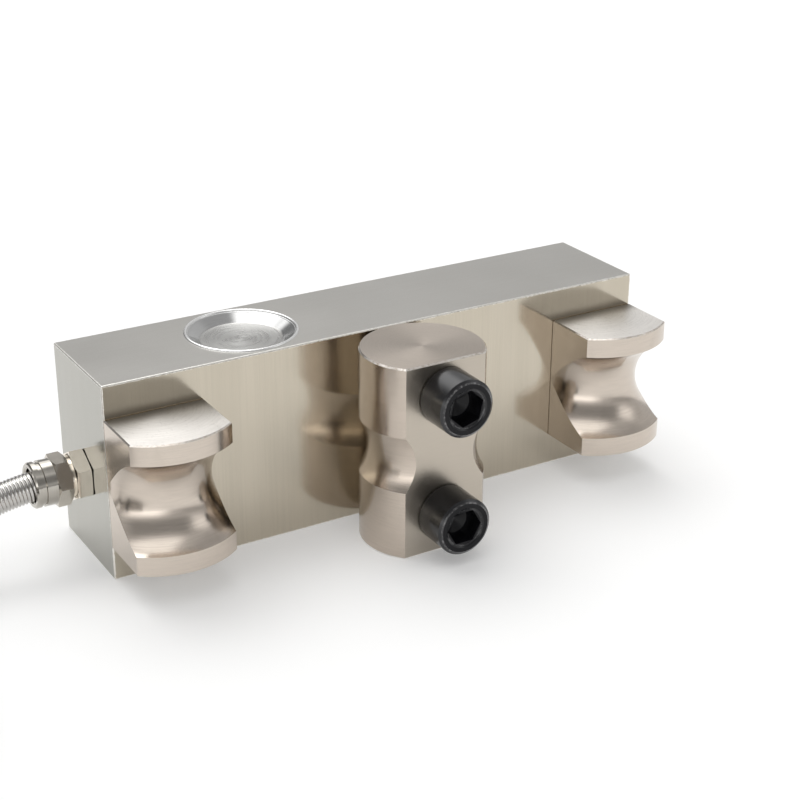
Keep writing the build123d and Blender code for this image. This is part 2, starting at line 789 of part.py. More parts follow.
for name, piece in sorted(
    {k: v for k, v in globals().items() if isinstance(v, BuildPart)}.items()
):
    if name == piece.part.label:
        bb = piece.part.bounding_box()
        print(
            f"{name:18s} solids {len(piece.part.solids())} volume {piece.part.volume:10.1f} "
            f"x {bb.min.X:8.2f} {bb.max.X:8.2f} y {bb.min.Y:8.2f} {bb.max.Y:8.2f} z {bb.min.Z:7.2f} {bb.max.Z:7.2f}"
        )
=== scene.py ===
import bpy
import bmesh
import math
import random
from mathutils import Matrix, Vector


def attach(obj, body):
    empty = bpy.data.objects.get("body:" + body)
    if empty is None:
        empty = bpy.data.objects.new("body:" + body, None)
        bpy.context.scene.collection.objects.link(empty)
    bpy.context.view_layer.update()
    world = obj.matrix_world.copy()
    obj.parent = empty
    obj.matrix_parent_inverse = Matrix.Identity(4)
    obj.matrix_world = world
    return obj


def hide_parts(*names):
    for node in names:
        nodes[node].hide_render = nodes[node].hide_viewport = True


# Rope tension load cell: looks around the fixed frame. Metres, front toward -Y, +Z up.
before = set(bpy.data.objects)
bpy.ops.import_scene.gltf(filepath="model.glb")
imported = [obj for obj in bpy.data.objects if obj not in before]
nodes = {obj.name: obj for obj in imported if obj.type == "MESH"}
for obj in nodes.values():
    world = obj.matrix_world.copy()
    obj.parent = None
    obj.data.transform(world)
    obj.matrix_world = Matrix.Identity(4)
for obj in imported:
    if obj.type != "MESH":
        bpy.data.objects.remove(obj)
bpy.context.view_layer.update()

scene = bpy.context.scene
scene.view_settings.view_transform = "Standard"
scene.view_settings.look = "None"
scene.view_settings.exposure = 0.0
scene.view_settings.gamma = 1.0

MM = 0.001

# ------------------------------------------------------------------ camera
# The eye and its turn were found from the bar's corners in the picture.
cam_data = bpy.data.cameras.new("Camera")
cam = bpy.data.objects.new("Camera", cam_data)
scene.collection.objects.link(cam)
az, el, roll = math.radians(-30.8736), math.radians(24.0773), math.radians(0.2927)
back = Vector((math.sin(az) * math.cos(el), -math.cos(az) * math.cos(el), math.sin(el)))
right = Vector((0, 0, 1)).cross(back).normalized()
up = back.cross(right)
right_r = right * math.cos(roll) + up * math.sin(roll)
up_r = up * math.cos(roll) - right * math.sin(roll)
turn = Matrix((
    (right_r.x, up_r.x, back.x),
    (right_r.y, up_r.y, back.y),
    (right_r.z, up_r.z, back.z),
)).to_4x4()
cam.matrix_world = Matrix.Translation((-0.24131, -0.42982, 0.25004)) @ turn
cam_data.sensor_fit = "HORIZONTAL"
cam_data.sensor_width = 36.0
cam_data.lens = 36.0 * 1678.44 / 800.0
cam_data.clip_start = 0.01
cam_data.clip_end = 20.0
scene.camera = cam


# ------------------------------------------------------------------ node helpers
class Mat:
    """A small writer for a material's nodes."""

    def __init__(self, name):
        self.m = bpy.data.materials.new(name)
        self.m.use_nodes = True
        self.t = self.m.node_tree
        self.t.nodes.clear()
        self.out = self.t.nodes.new("ShaderNodeOutputMaterial")
        self.bsdf = self.t.nodes.new("ShaderNodeBsdfPrincipled")
        self.t.links.new(self.bsdf.outputs[0], self.out.inputs[0])
        self.tex = self.t.nodes.new("ShaderNodeTexCoord")
        self.P = self.tex.outputs["Object"]
        geo = self.t.nodes.new("ShaderNodeNewGeometry")
        self.N = geo.outputs["Normal"]
        sep = self.t.nodes.new("ShaderNodeSeparateXYZ")
        self.link(self.P, sep.inputs[0])
        self.x, self.y, self.z = sep.outputs
        sepn = self.t.nodes.new("ShaderNodeSeparateXYZ")
        self.link(self.N, sepn.inputs[0])
        self.nx, self.ny, self.nz = sepn.outputs

    def link(self, a, b):
        if isinstance(a, (int, float)):
            b.default_value = a
        elif isinstance(a, (tuple, list)):
            n = len(b.default_value)
            v = list(a)
            b.default_value = v if len(v) == n else (v + [1.0])[:n]
        else:
            self.t.links.new(a, b)

    def math(self, op, a, b=0.0, c=0.0, clamp=False):
        n = self.t.nodes.new("ShaderNodeMath")
        n.operation = op
        n.use_clamp = clamp
        for i, v in enumerate((a, b, c)):
            self.link(v, n.inputs[i])
        return n.outputs[0]

    def vmath(self, op, a, b=(0, 0, 0), scale=None):
        n = self.t.nodes.new("ShaderNodeVectorMath")
        n.operation = op
        self.link(a, n.inputs[0])
        self.link(b, n.inputs[1])
        if scale is not None:
            self.link(scale, n.inputs["Scale"])
        return n.outputs["Value"] if op in ("LENGTH", "DOT_PRODUCT", "DISTANCE") else n.outputs[0]

    def combine(self, x, y, z):
        n = self.t.nodes.new("ShaderNodeCombineXYZ")
        for i, v in enumerate((x, y, z)):
            self.link(v, n.inputs[i])
        return n.outputs[0]

    def noise(self, vec, scale, detail=2.0, rough=0.5, distort=0.0, dims="3D"):
        n = self.t.nodes.new("ShaderNodeTexNoise")
        n.noise_dimensions = dims
        self.link(vec, n.inputs["Vector"])
        n.inputs["Scale"].default_value = scale
        n.inputs["Detail"].default_value = detail
        n.inputs["Roughness"].default_value = rough
        n.inputs["Distortion"].default_value = distort
        return n.outputs[0]

    def voronoi(self, vec, scale, feature="F1", rand=1.0):
        n = self.t.nodes.new("ShaderNodeTexVoronoi")
        n.feature = feature
        self.link(vec, n.inputs["Vector"])
        n.inputs["Scale"].default_value = scale
        n.inputs["Randomness"].default_value = rand
        return n.outputs[0]

    def ramp(self, v, lo, hi, to_lo=0.0, to_hi=1.0, smooth=True):
        n = self.t.nodes.new("ShaderNodeMapRange")
        n.interpolation_type = "SMOOTHSTEP" if smooth else "LINEAR"
        self.link(v, n.inputs["Value"])
        self.link(lo, n.inputs["From Min"])
        self.link(hi, n.inputs["From Max"])
        self.link(to_lo, n.inputs["To Min"])
        self.link(to_hi, n.inputs["To Max"])
        return n.outputs[0]

    def mix(self, f, a, b):
        n = self.t.nodes.new("ShaderNodeMix")
        n.data_type = "RGBA"
        self.link(f, n.inputs[0])
        self.link(a, n.inputs[6])
        self.link(b, n.inputs[7])
        return n.outputs[2]

    def mixf(self, f, a, b):
        n = self.t.nodes.new("ShaderNodeMix")
        n.data_type = "FLOAT"
        self.link(f, n.inputs[0])
        self.link(a, n.inputs[2])
        self.link(b, n.inputs[3])
        return n.outputs[0]

    def scale(self, vec, sx, sy, sz):
        n = self.t.nodes.new("ShaderNodeMapping")
        self.link(vec, n.inputs["Vector"])
        n.inputs["Scale"].default_value = (sx, sy, sz)
        return n.outputs[0]

    def bump(self, height, dist, strength=1.0, normal=None):
        n = self.t.nodes.new("ShaderNodeBump")
        self.link(height, n.inputs["Height"])
        n.inputs["Distance"].default_value = dist
        n.inputs["Strength"].default_value = strength
        if normal is not None:
            self.link(normal, n.inputs["Normal"])
        return n.outputs[0]

    def set(self, **kw):
        for k, v in kw.items():
            self.link(v, self.bsdf.inputs[k.replace("_", " ")])
        return self.m


def dress(name, mat):
    o = nodes[name]
    if o.material_slots:
        for s in o.material_slots:
            s.material = mat
    else:
        o.data.materials.append(mat)


# ------------------------------------------------------------------ metals
HALF_L, HALF_D, HIGH = 93 * MM, 19 * MM, 62 * MM


def bar_metal():
    """Ground bar with bright nickel on it: near-mirror sides with upright grinding lines, satin top."""
    k = Mat("bar_nickel")
    is_top = k.ramp(k.math("ABSOLUTE", k.nz), 0.6, 0.8)
    is_end = k.ramp(k.math("ABSOLUTE", k.nx), 0.6, 0.8)
    # distance from the nearest edge of the box: the middle one of the three gaps to its faces
    ex = k.math("SUBTRACT", HALF_L, k.math("ABSOLUTE", k.x))
    ey = k.math("SUBTRACT", HALF_D, k.math("ABSOLUTE", k.y))
    ez = k.math("MINIMUM", k.z, k.math("SUBTRACT", HIGH, k.z))
    lo = k.math("MINIMUM", ex, k.math("MINIMUM", ey, ez))
    hi = k.math("MAXIMUM", ex, k.math("MAXIMUM", ey, ez))
    mid = k.math("SUBTRACT", k.math("ADD", ex, k.math("ADD", ey, ez)), k.math("ADD", lo, hi))
    ragged = k.noise(k.P, 1100.0, 4.0, 0.7)
    wear_and_glint = k.ramp(k.math("ADD", mid, k.math("MULTIPLY", ragged, -0.0010)), 0.00012, -0.00022)
    # grinding lines
    side_lines = k.noise(k.scale(k.P, 2300, 40, 26), 1.0, 3.0, 0.6)
    end_lines = k.noise(k.scale(k.P, 40, 2300, 26), 1.0, 3.0, 0.6)
    broad_side = k.noise(k.scale(k.P, 170, 20, 7), 1.0, 3.0, 0.55)
    broad_end = k.noise(k.scale(k.P, 20, 170, 7), 1.0, 3.0, 0.55)
    top_lines = k.noise(k.scale(k.P, 60, 2300, 60), 1.0, 3.0, 0.6)
    top_grain = k.noise(k.P, 2600.0, 3.0, 0.65)
    cloud = k.noise(k.P, 26.0, 3.0, 0.55, 0.3)
    cloud2 = k.noise(k.scale(k.P, 42, 30, 18), 1.0, 3.0, 0.55, 0.4)
    lines = k.mixf(is_end, side_lines, end_lines)
    broad = k.mixf(is_end, broad_side, broad_end)
    h = k.mixf(is_top, lines, k.math("ADD", k.math("MULTIPLY", top_lines, 0.35), k.math("MULTIPLY", top_grain, 0.65)))
    side_col = k.mix(cloud2, (0.530, 0.478, 0.388), (0.572, 0.520, 0.434))
    # the end faces are coloured darker than the sides to match how they are lit: painted shade
    end_col = k.mix(cloud2, (0.395, 0.388, 0.352), (0.435, 0.428, 0.392))
    top_col = k.mix(cloud, (0.490, 0.477, 0.450), (0.520, 0.508, 0.482))
    col = k.mix(is_top, k.mix(is_end, side_col, end_col), top_col)
    streak = k.mixf(is_top, k.ramp(k.math("ADD", k.math("MULTIPLY", lines, 0.55), k.math("MULTIPLY", broad, 0.45)), 0.36, 0.66), k.ramp(h, 0.38, 0.64))
    col = k.mix(k.math("MULTIPLY", streak, 0.13), col, (0.30, 0.27, 0.22))
    # lighter edges: partly rubbed wear and partly a painted highlight along the edges
    col = k.mix(k.math("MULTIPLY", wear_and_glint, 0.80), col, (0.90, 0.88, 0.83))
    rough_side = k.ramp(k.math("ADD", k.math("MULTIPLY", broad, 0.4), k.math("MULTIPLY", cloud, 0.6)), 0.25, 0.75, 0.125, 0.175)
    rough_top = k.ramp(cloud, 0.25, 0.75, 0.29, 0.33)
    rough = k.mixf(is_top, rough_side, rough_top)
    rough = k.mixf(wear_and_glint, rough, 0.30)
    n = k.bump(h, 0.0000016)
    # the grinding lines run upright, so gloss spreads across them
    along_x = k.math("SUBTRACT", 1.0, is_end)
    tangent = k.combine(along_x, is_end, 0.0)
    k.bsdf.inputs["Anisotropic"].default_value = 0.35
    return k.set(Base_Color=col, Metallic=1.0, Roughness=rough, Normal=n, Tangent=tangent)


def turned_metal(name, cx, cy, low_z, high_z, flat_y=None, disc_rough=(0.41, 0.49), side_rough=(0.17, 0.22), base=(0.590, 0.522, 0.455), disc_painted_tone=(0.79, 0.765, 0.73), disc_spread=0.25, disc_grain=2.6, joint_y=None):
    """Satin nickel on a turned piece: lathe rings on its round faces, end faces turned in circles."""
    k = Mat(name)
    dx = k.math("SUBTRACT", k.x, cx * MM)
    dy = k.math("SUBTRACT", k.y, cy * MM)
    r = k.math("SQRT", k.math("ADD", k.math("MULTIPLY", dx, dx), k.math("MULTIPLY", dy, dy)))
    a = k.math("ARCTAN2", dy, dx)
    is_disc = k.ramp(k.math("ABSOLUTE", k.nz), 0.955, 0.985)
    # lathe rings: quick along Z, slow round the axis
    ring = k.noise(k.combine(k.math("MULTIPLY", a, 2.0), k.math("MULTIPLY", k.z, 3000.0), k.math("MULTIPLY", r, 200.0)), 1.0, 3.0, 0.6)
    disc = k.noise(k.combine(k.math("MULTIPLY", a, 1.4), k.math("MULTIPLY", r, 2600.0), 0.0), 1.0, 3.0, 0.6)
    band = k.noise(k.combine(k.math("MULTIPLY", a, 0.8), k.math("MULTIPLY", k.z, 420.0), k.math("MULTIPLY", r, 60.0)), 1.0, 2.0, 0.5)
    grain = k.noise(k.P, 2400.0, 3.0, 0.65)
    cloud = k.noise(k.P, 55.0, 3.0, 0.55, 0.3)
    smut = k.noise(k.scale(k.P, 120, 120, 60), 1.0, 4.0, 0.6, 0.5)
    lines = k.mixf(is_disc, ring, disc)
    h = k.math("ADD", k.math("MULTIPLY", lines, 0.7), k.math("MULTIPLY", grain, k.mixf(is_disc, 0.6, disc_grain)))
    # rubbed rims at both ends, lighter: partly wear and partly a painted highlight along the edges
    from_end = k.math("MINIMUM", k.math("SUBTRACT", high_z * MM, k.z), k.math("SUBTRACT", k.z, low_z * MM))
    slope = k.math("MULTIPLY", k.ramp(k.math("ABSOLUTE", k.nz), 0.12, 0.5), k.ramp(k.math("ABSOLUTE", k.nz), 0.985, 0.85))
    wear_and_glint = k.math("MULTIPLY", k.ramp(from_end, 0.0011, 0.0004), slope)
    wear_and_glint = k.math("MULTIPLY", wear_and_glint, k.ramp(k.noise(k.P, 900.0, 4.0, 0.7), 0.30, 0.60))
    warm = k.mix(cloud, base, tuple(min(1.0, c * 1.09) for c in base))
    # the end faces get a tone of their own, lighter than the sides on the saddles and darker on the block, to match how
    # they are lit: painted light and shade
    warm = k.mix(is_disc, warm, k.mix(cloud, disc_painted_tone, tuple(min(1.0, c * 1.09) for c in disc_painted_tone)))
    col = k.mix(k.math("MULTIPLY", k.ramp(lines, 0.38, 0.66), 0.14), warm, tuple(c * 0.55 for c in base))
    speck = k.math("MULTIPLY", k.ramp(k.noise(k.P, 1500.0, 3.0, 0.6), 0.56, 0.70), k.mixf(is_disc, 0.07, 0.20))
    col = k.mix(speck, col, tuple(c * 0.45 for c in base))
    col = k.mix(k.math("MULTIPLY", k.ramp(smut, 0.52, 0.72), 0.10), col, (0.34, 0.30, 0.25))
    col = k.mix(k.math("MULTIPLY", wear_and_glint, 0.70), col, (0.92, 0.89, 0.84))
    side_r = k.ramp(k.math("ADD", k.math("MULTIPLY", band, 0.4), k.math("MULTIPLY", cloud, 0.6)), 0.25, 0.75, side_rough[0], side_rough[1])
    disc_r = k.ramp(k.math("ADD", k.math("MULTIPLY", grain, 0.35), k.math("MULTIPLY", cloud, 0.65)), 0.25, 0.75, disc_rough[0], disc_rough[1])
    rough = k.mixf(is_disc, side_r, disc_r)
    n = k.bump(h, 0.0000022)
    round_way = k.combine(k.math("MULTIPLY", dy, -1.0), dx, 0.0)
    tangent = k.vmath("NORMALIZE", k.vmath("CROSS_PRODUCT", k.N, round_way))
    if joint_y is not None:
        # grime and shadow in the joint against the bar
        near = k.math("ADD", k.math("ABSOLUTE", k.math("SUBTRACT", k.y, joint_y * MM)), k.math("MULTIPLY", k.noise(k.P, 700.0, 3.0, 0.6), 0.00022))
        joint = k.math("MULTIPLY", k.ramp(near, 0.00046, 0.00026), 0.80)
        col = k.mix(joint, col, (0.16, 0.115, 0.070))
        rough = k.mixf(joint, rough, 0.55)
        # painted shade on the top and lower faces, darkest in the corner with the bar
        corner_shade = k.math("MULTIPLY", k.ramp(k.math("ADD", k.y, k.math("MULTIPLY", cloud, 0.0030)), -0.0245, -0.0180), 0.80)
        col = k.mix(k.math("MULTIPLY", corner_shade, is_disc), col, (0.20, 0.175, 0.150))
    if flat_y is not None:
        on_flat = k.math("MULTIPLY", k.ramp(k.ny, -0.985, -0.9995), k.ramp(k.y, (flat_y + 0.2) * MM, (flat_y + 0.02) * MM))
        mill = k.noise(k.scale(k.P, 2400, 50, 50), 1.0, 3.0, 0.6)
        col = k.mix(k.math("MULTIPLY", on_flat, 0.75), col, (0.475, 0.432, 0.368))
        rough = k.mixf(on_flat, rough, 0.29)
        n = k.bump(k.mixf(on_flat, h, k.math("ADD", k.math("MULTIPLY", mill, 0.7), k.math("MULTIPLY", grain, 0.5))), 0.0000022)
        tangent = k.vmath("NORMALIZE", k.vmath("ADD", k.vmath("SCALE", tangent, scale=k.math("SUBTRACT", 1.0, on_flat)), k.vmath("SCALE", (1.0, 0.0, 0.0), scale=on_flat)))
    if disc_spread == 0.25:
        k.bsdf.inputs["Anisotropic"].default_value = 0.25
    else:
        k.link(k.mixf(is_disc, 0.25, disc_spread), k.bsdf.inputs["Anisotropic"])
    return k.set(Base_Color=col, Metallic=1.0, Roughness=rough, Normal=n, Tangent=tangent)


def cup_metal(name):
    """Spun cup: bright bead, concentric turning on the floor."""
    k = Mat(name)
    dx = k.math("SUBTRACT", k.x, -40.4 * MM)
    r = k.math("SQRT", k.math("ADD", k.math("MULTIPLY", dx, dx), k.math("MULTIPLY", k.y, k.y)))
    a = k.math("ARCTAN2", k.y, dx)
    rings = k.noise(k.combine(k.math("MULTIPLY", a, 1.4), k.math("MULTIPLY", r, 3600.0), k.math("MULTIPLY", k.z, 800.0)), 1.0, 3.0, 0.6)
    wide = k.noise(k.combine(k.math("MULTIPLY", a, 0.7), k.math("MULTIPLY", r, 700.0), 0.0), 1.0, 2.0, 0.5)
    cloud = k.noise(k.P, 120.0, 3.0, 0.55)
    on_floor = k.ramp(r, 13.2 * MM, 12.4 * MM)
    on_bead = k.ramp(r, 16.1 * MM, 16.5 * MM)
    wall = k.mix(on_bead, k.mix(cloud, (0.55, 0.55, 0.545), (0.62, 0.62, 0.615)), (0.90, 0.90, 0.89))
    floor = k.mix(wide, (0.43, 0.425, 0.41), (0.53, 0.525, 0.51))
    col = k.mix(on_floor, wall, floor)
    col = k.mix(k.math("MULTIPLY", k.ramp(rings, 0.4, 0.66), 0.12), col, (0.36, 0.355, 0.345))
    rough = k.mixf(on_floor, k.ramp(wide, 0.3, 0.7, 0.12, 0.17), k.ramp(wide, 0.3, 0.7, 0.25, 0.33))
    rough = k.mixf(on_bead, rough, 0.24)
    n = k.bump(rings, 0.0000022)
    round_way = k.combine(k.math("MULTIPLY", k.y, -1.0), dx, 0.0)
    tangent = k.vmath("NORMALIZE", k.vmath("CROSS_PRODUCT", k.N, round_way))
    k.bsdf.inputs["Anisotropic"].default_value = 0.45
    return k.set(Base_Color=col, Metallic=1.0, Roughness=rough, Normal=n, Tangent=tangent)


def gland_metal(name="gland_nickel"):
    """Bright nickel plate over turned brass: fine turning round the gland's axis."""
    k = Mat(name)
    dz = k.math("SUBTRACT", k.z, 27.0 * MM)
    r = k.math("SQRT", k.math("ADD", k.math("MULTIPLY", dz, dz), k.math("MULTIPLY", k.y, k.y)))
    a = k.math("ARCTAN2", dz, k.y)
    rings = k.noise(k.combine(k.math("MULTIPLY", a, 1.2), k.math("MULTIPLY", k.x, 4200.0), k.math("MULTIPLY", r, 4200.0)), 1.0, 2.0, 0.6)
    cloud = k.noise(k.P, 220.0, 3.0, 0.55)
    on_body = k.ramp(k.x, -98.6 * MM, -98.3 * MM)
    on_nose = k.ramp(k.x, -103.3 * MM, -103.6 * MM)
    col = k.mix(cloud, (0.58, 0.54, 0.475), (0.65, 0.61, 0.545))
    # the gland body's hex is coloured lighter, and the nose darker, than the nut between them, to match how they are
    # lit: painted light and shade
    col = k.mix(on_body, col, k.mix(cloud, (0.80, 0.745, 0.66), (0.86, 0.805, 0.72)))
    col = k.mix(on_nose, col, k.mix(cloud, (0.43, 0.405, 0.365), (0.50, 0.475, 0.43)))
    col = k.mix(k.math("MULTIPLY", k.ramp(rings, 0.45, 0.7), 0.15), col, (0.32, 0.29, 0.24))
    rough = k.ramp(cloud, 0.3, 0.7, 0.085, 0.15)
    n = k.bump(k.math("ADD", k.math("MULTIPLY", rings, 0.6), k.math("MULTIPLY", cloud, 2.0)), 0.0000020)
    return k.set(Base_Color=col, Metallic=1.0, Roughness=rough, Normal=n)


def black_oxide(name, zs):
    """Oiled black oxide on a forged and turned screw: soft sheen, rubbed thin along the head's rims."""
    k = Mat(name)
    cloud = k.noise(k.P, 180.0, 4.0, 0.6, 0.2)
    grain = k.noise(k.P, 2600.0, 3.0, 0.65)
    col = k.mix(cloud, (0.0030, 0.0030, 0.0040), (0.0075, 0.0075, 0.0095))
    rim = None
    r_of = None
    for z in zs:
        dz = k.math("SUBTRACT", k.z, z * MM)
        dx = k.math("SUBTRACT", k.x, 0.6 * MM)
        r = k.math("SQRT", k.math("ADD", k.math("MULTIPLY", dz, dz), k.math("MULTIPLY", dx, dx)))
        near = k.ramp(r, 10.5 * MM, 9.6 * MM)
        edge = k.math("MULTIPLY", k.math("MULTIPLY", k.ramp(r, 7.75 * MM, 7.95 * MM), k.ramp(r, 8.45 * MM, 8.15 * MM)), k.ramp(k.y, -62.6 * MM, -62.9 * MM))
        mouth = k.math("MULTIPLY", k.ramp(r, 6.15 * MM, 5.95 * MM), k.math("MULTIPLY", k.ramp(r, 5.2 * MM, 5.6 * MM), k.ramp(k.y, -62.8 * MM, -63.1 * MM)))
        part = k.math("MULTIPLY", near, k.math("MAXIMUM", edge, k.math("MULTIPLY", mouth, 0.8)))
        rim = part if rim is None else k.math("MAXIMUM", rim, part)
        r_of = r if r_of is None else k.math("MINIMUM", r_of, r)
    ragged = k.ramp(k.noise(k.P, 800.0, 4.0, 0.7), 0.42, 0.66)
    rub = k.math("MULTIPLY", rim, k.math("ADD", 0.08, k.math("MULTIPLY", ragged, 0.7)))
    col = k.mix(rub, col, (0.20, 0.197, 0.20))
    turning = k.noise(k.combine(k.math("MULTIPLY", r_of, 2600.0), k.math("MULTIPLY", k.y, 2600.0), 0.0), 1.0, 2.0, 0.6)
    h = k.math("ADD", k.math("MULTIPLY", grain, 0.8), k.math("MULTIPLY", turning, 0.7))
    rough = k.ramp(k.math("ADD", k.math("MULTIPLY", cloud, 0.7), k.math("MULTIPLY", grain, 0.3)), 0.3, 0.7, 0.17, 0.26)
    n = k.bump(h, 0.0000034)
    k.bsdf.inputs["IOR"].default_value = 1.50
    on_face = k.ramp(k.ny, -0.75, -0.95)
    k.link(k.mixf(on_face, 0.62, 0.19), k.bsdf.inputs["Specular IOR Level"])
    return k.set(Base_Color=col, Metallic=0.0, Roughness=rough, Normal=n)


def plain_soft(name, c1, c2, rough=(0.45, 0.6), scale=300.0, metallic=0.0, bump=0.00001):
    k = Mat(name)
    n1 = k.noise(k.P, scale, 4.0, 0.6)
    n2 = k.noise(k.P, scale * 7, 3.0, 0.6)
    col = k.mix(n1, c1, c2)
    r = k.ramp(n2, 0.3, 0.7, rough[0], rough[1])
    n = k.bump(k.math("ADD", n1, k.math("MULTIPLY", n2, 0.6)), bump)
    return k.set(Base_Color=col, Metallic=metallic, Roughness=r, Normal=n)


m_bar = bar_metal()
m_saddle_l = turned_metal("saddle_left_nickel", -77.5, -19.0, 10.4, 51.6, joint_y=-19.0)
m_saddle_r = turned_metal("saddle_right_nickel", 77.5, -19.0, 10.4, 51.6, joint_y=-19.0)
m_block = turned_metal("block_nickel", 0.6, -38.0, 0.0, 62.0, flat_y=-51.4, disc_rough=(0.31, 0.36), side_rough=(0.20, 0.26), base=(0.540, 0.473, 0.408), disc_painted_tone=(0.440, 0.388, 0.338), disc_spread=0.48, disc_grain=1.6)
m_cup = cup_metal("cup_spun")
m_gland = gland_metal()
m_black = black_oxide("black_oxide_head", (12.6, 51.0))
m_black_plain = black_oxide("black_oxide_back", (500.0,))
m_rubber = plain_soft("rubber", (0.010, 0.010, 0.010), (0.022, 0.022, 0.022), (0.5, 0.7))
m_silicone = plain_soft("silicone", (0.60, 0.62, 0.60), (0.74, 0.76, 0.73), (0.3, 0.45))
m_foil = plain_soft("gauge_film", (0.55, 0.27, 0.06), (0.70, 0.40, 0.11), (0.2, 0.3), 900.0)
m_board = plain_soft("board_lacquer", (0.02, 0.13, 0.05), (0.04, 0.19, 0.08), (0.25, 0.4), 500.0)
m_resistor = plain_soft("resistor_body", (0.05, 0.10, 0.20), (0.09, 0.15, 0.27), (0.2, 0.35), 900.0)
m_sheath = plain_soft("sheath", (0.020, 0.020, 0.022), (0.036, 0.036, 0.038), (0.42, 0.55), 700.0)

dress("spring_body", m_bar)
dress("saddle_left", m_saddle_l)
dress("saddle_right", m_saddle_r)
dress("clamp_block", m_block)
dress("clamp_screws", m_black)
dress("saddle_screws", m_black_plain)
dress("seal_cup_top", m_cup)
dress("seal_cup_bottom", m_cup)
for n in ("gland_body", "gland_nut", "gland_ring", "conduit_end_bush"):
    dress(n, m_gland)
for n in ("gland_washer", "gland_seal"):
    dress(n, m_rubber)
for n in ("gauge_seal_upper", "gauge_seal_lower"):
    dress(n, m_silicone)
for n in ("gauges_upper", "gauges_lower"):
    dress(n, m_foil)
dress("bridge_board", m_board)
dress("trim_resistors", m_resistor)
dress("inner_cable", m_sheath)


def core_colours(name, mid, across, upward):
    """Four insulated cores, each in its own colour, told apart by where they lie round the cable's middle."""
    k = Mat(name)
    d = k.vmath("SUBTRACT", k.P, tuple(v * MM for v in mid))
    side = k.math("GREATER_THAN", k.vmath("DOT_PRODUCT", d, across), 0.0)
    high = k.math("GREATER_THAN", k.vmath("DOT_PRODUCT", d, upward), 0.0)
    n1 = k.noise(k.P, 700.0, 3.0, 0.6)
    n2 = k.noise(k.P, 4200.0, 2.0, 0.6)
    red = k.mix(n1, (0.38, 0.020, 0.016), (0.48, 0.034, 0.026))
    black = k.mix(n1, (0.012, 0.012, 0.013), (0.024, 0.024, 0.026))
    green = k.mix(n1, (0.020, 0.21, 0.05), (0.034, 0.28, 0.08))
    white = k.mix(n1, (0.66, 0.65, 0.61), (0.76, 0.75, 0.71))
    col = k.mix(high, k.mix(side, green, white), k.mix(side, red, black))
    return k.set(Base_Color=col, Roughness=k.ramp(n2, 0.3, 0.7, 0.30, 0.42), Normal=k.bump(n2, 0.000004))


TAIL_END = (-268.4, -34.6, 21.0)
TAIL_WAY = (-0.259, -0.966, 0.0)
m_inner_core = core_colours("inner_core_insulation", (-60.0, 0.0, 27.0), (0.0, 1.0, 0.0), (0.0, 0.0, 1.0))
m_tail_core = core_colours("tail_core_insulation", TAIL_END, (0.966, -0.259, 0.0), (0.0, 0.0, 1.0))
dress("inner_cores", m_inner_core)
dress("tail_cores", m_tail_core)

# ------------------------------------------------------------------ conduit
# The conduit's route from the gland down to the coil, in metres.
ROUTE = [
    (-0.10400, 0.00000, 0.02725),
    (-0.11446, 0.00000, 0.02633),
    (-0.12564, 0.00020, 0.02365),
    (-0.13664, 0.00116, 0.01896),
    (-0.14680, 0.00277, 0.01278),
    (-0.15761, 0.00429, 0.00780),
    (-0.16882, 0.00500, 0.00530),
    (-0.17930, 0.00500, 0.00530),
    (-0.20820, 0.00500, 0.00530),
]
COIL_C = (-0.2153, -0.0488)
CONDUIT_R = 0.0045
PER_TURN = 24


def step(v, a, b):
    t = min(1.0, max(0.0, (v - a) / (b - a)))
    return t * t * (3 - 2 * t)


def coil_state(t):
    """Radius and height of the winding, t degrees past the point where it meets the coil."""
    r = 53.8
    r += (44.5 - 53.8) * step(t, 240, 360) + (35.2 - 44.5) * step(t, 600, 720)
    r += (44.5 - 35.2) * step(t, 1230, 1350) + (53.8 - 44.5) * step(t, 1590, 1710)
    z = 5.3 + (14.4 - 5.3) * step(t, 900, 1050) + (23.3 - 14.4) * step(t, 1905, 2040)
    return r, z


shrink = (6 + 2 * math.cos(2 * math.pi / PER_TURN)) / 8
turns = []
t = 180.0 / PER_TURN
while t < 2180.0:
    r, z = coil_state(t)
    r = r / shrink * MM
    phi = math.radians(90 + t)
    turns.append((COIL_C[0] + r * math.cos(phi), COIL_C[1] + r * math.sin(phi), z * MM))
    t += 360.0 / PER_TURN
phi = math.radians(90 + 2180)
turns.append((COIL_C[0] + 53.8 * MM * math.cos(phi), COIL_C[1] + 53.8 * MM * math.sin(phi), 23.3 * MM))

line_data = bpy.data.curves.new("conduit_line", "CURVE")
line_data.dimensions = "3D"
spline = line_data.splines.new("NURBS")
controls = ROUTE + turns
spline.points.add(len(controls) - 1)
for p, c in zip(spline.points, controls):
    p.co = (c[0], c[1], c[2], 1.0)
spline.order_u = 3
spline.use_endpoint_u = True
spline.resolution_u = 16
line_obj = bpy.data.objects.new("conduit_line", line_data)
line_mesh = bpy.data.meshes.new_from_object(line_obj)
path = [v.co.copy() for v in line_mesh.vertices]
bpy.data.meshes.remove(line_mesh)
bpy.data.objects.remove(line_obj)
bpy.data.curves.remove(line_data)


def measure(points):
    at = [0.0]
    for a, b in zip(points, points[1:]):
        at.append(at[-1] + (b - a).length)
    return at


def frames_along(points):
    """Tangent and one carried side vector at each point."""
    tangents = []
    for i in range(len(points)):
        a = points[max(i - 1, 0)]
        b = points[min(i + 1, len(points) - 1)]
        tangents.append((b - a).normalized())
    side = tangents[0].cross(Vector((0, 0, 1))).normalized()
    sides = []
    for tg in tangents:
        side = (side - tg * side.dot(tg)).normalized()
        sides.append(side.copy())
    return tangents, sides


